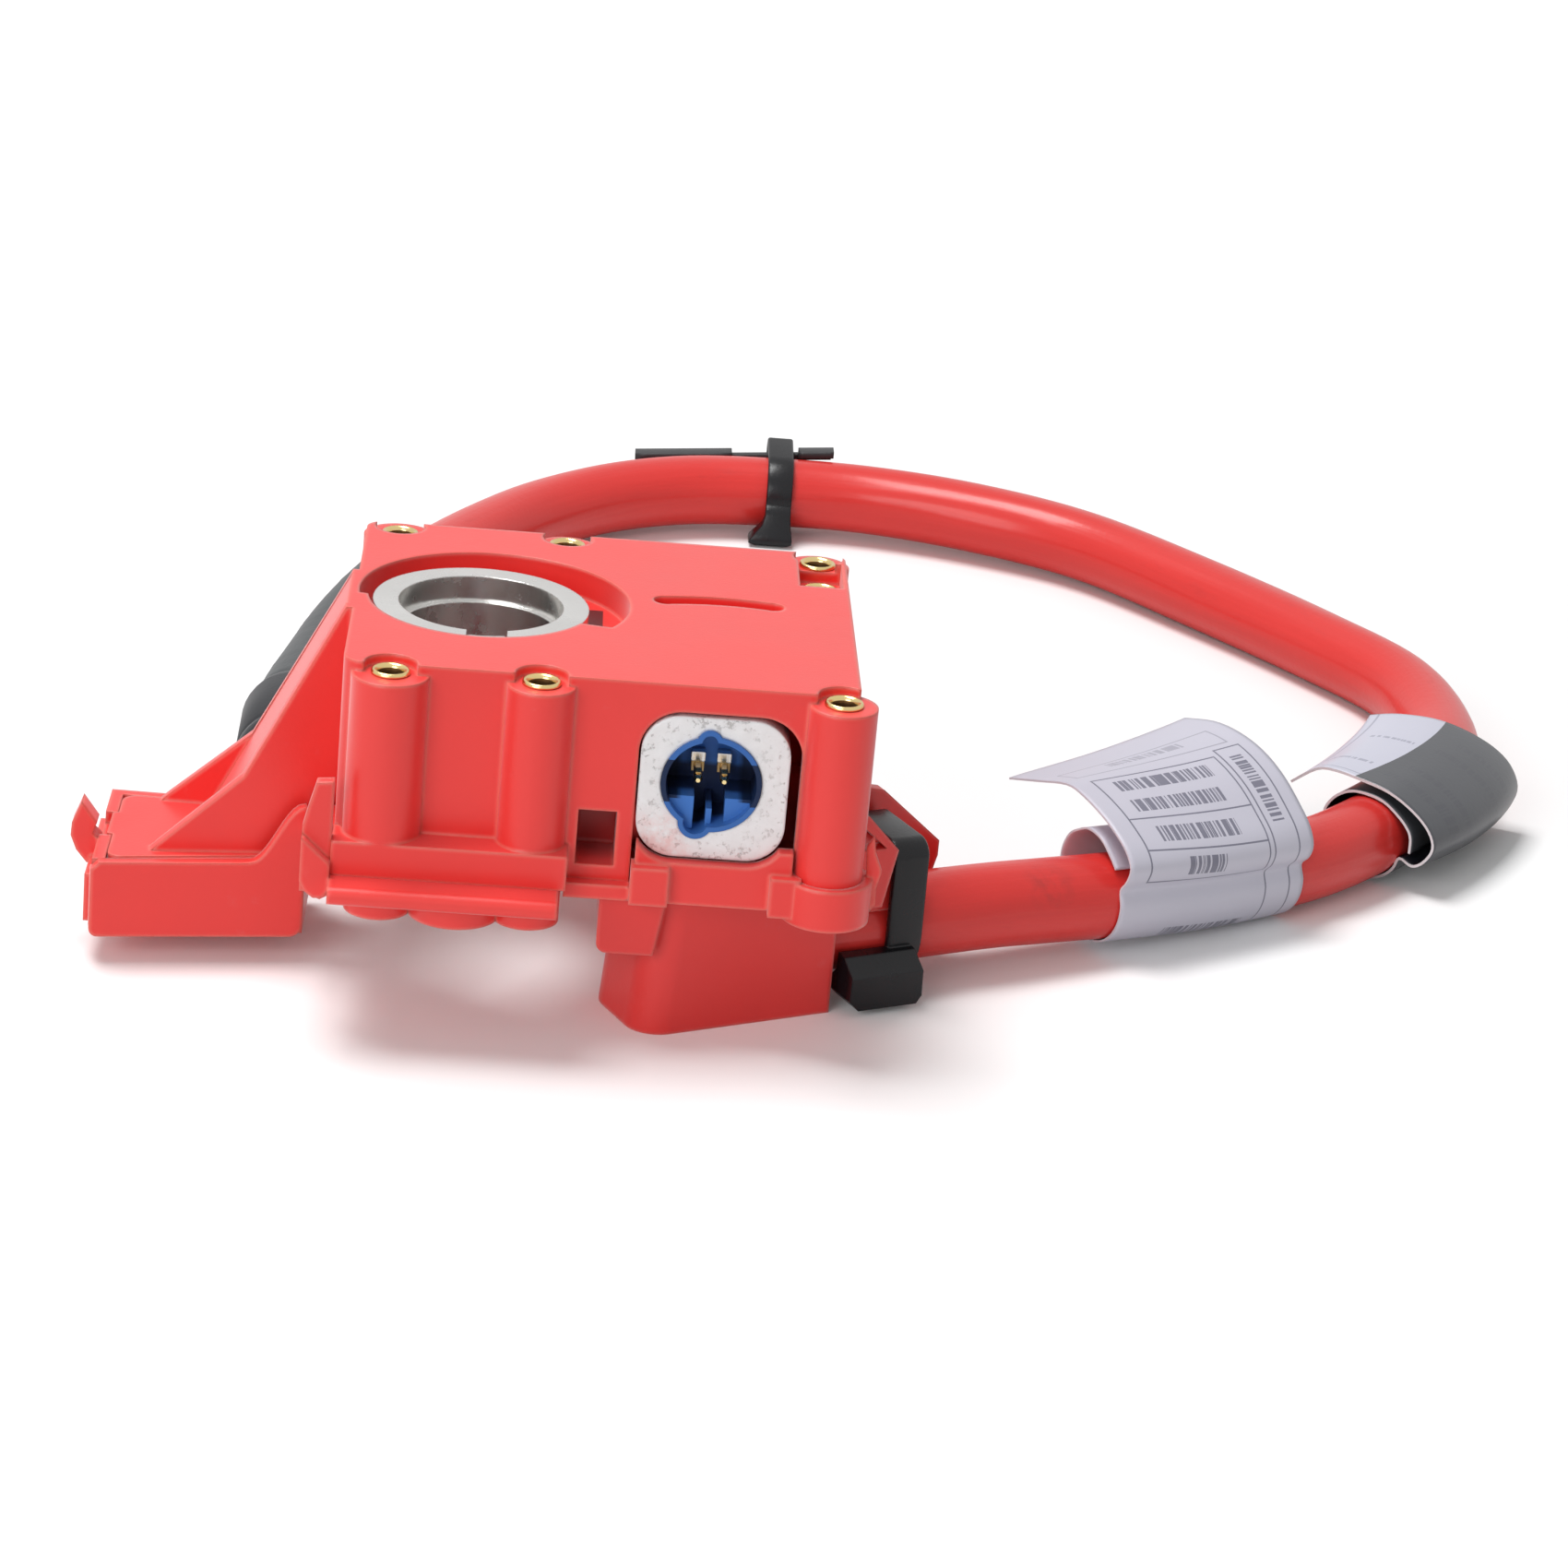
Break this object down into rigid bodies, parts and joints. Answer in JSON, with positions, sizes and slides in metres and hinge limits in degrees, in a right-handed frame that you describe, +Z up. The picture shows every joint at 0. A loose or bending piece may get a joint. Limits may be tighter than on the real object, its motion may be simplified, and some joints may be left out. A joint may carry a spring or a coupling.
{
  "type": "fused battery cable",
  "caption": "Red positive battery cable: riveted housing with a post clamp and a pyrotechnic fuse with a blue socket, a side guard arm, and a thick looped cable with labels and ties.",
  "frame": {"origin": "centre of the clamp ring's lower face, where the battery post comes in", "axes": "+Z up along the post, +Y away from the face with the igniter socket, +X away from the side arm"},
  "size_m": [0.1893, 0.2122, 0.0446],
  "materials": {
    "red_plastic": "satin",
    "tinned_brass": "satin",
    "zinc_steel": "satin",
    "tinned_copper": "satin",
    "yellow_brass": "satin",
    "cast_metal": "satin",
    "dark_plastic": "matte",
    "steel_can": "satin",
    "blue_plastic": "satin",
    "gilt_contacts": "polished",
    "black_rubber": "matte",
    "cable_jacket": "satin",
    "black_nylon": "satin",
    "grey_nylon": "matte",
    "white_paper": "satin",
    "grey_paper": "matte",
    "shrink_tube": "matte",
    "connector_plastic": "matte"
  },
  "bodies": {
    "root": {"upper_shell": "red_plastic", "lower_shell": "red_plastic", "guard_tray": "red_plastic", "cable_hood": "red_plastic", "battery_clamp": "tinned_brass", "clamp_bolt": "zinc_steel", "clamp_nut": "zinc_steel", "bus_bar": "tinned_copper", "bar_rivets": "yellow_brass", "fuse_body": "cast_metal", "fuse_base": "dark_plastic", "gas_generator": "steel_can", "piston": "dark_plastic", "socket_insert": "blue_plastic", "contact_pins": "gilt_contacts", "hollow_rivets": "yellow_brass", "cable_terminal": "tinned_copper", "cable_seal": "black_rubber", "power_cable": "cable_jacket", "housing_tie": "black_nylon", "clip_tie": "black_nylon", "cable_clip": "grey_nylon", "white_label": "white_paper", "grey_label": "grey_paper", "heat_shrink_sleeve": "shrink_tube", "end_connector": "connector_plastic", "end_lug": "tinned_brass"}
  },
  "joints": []
}
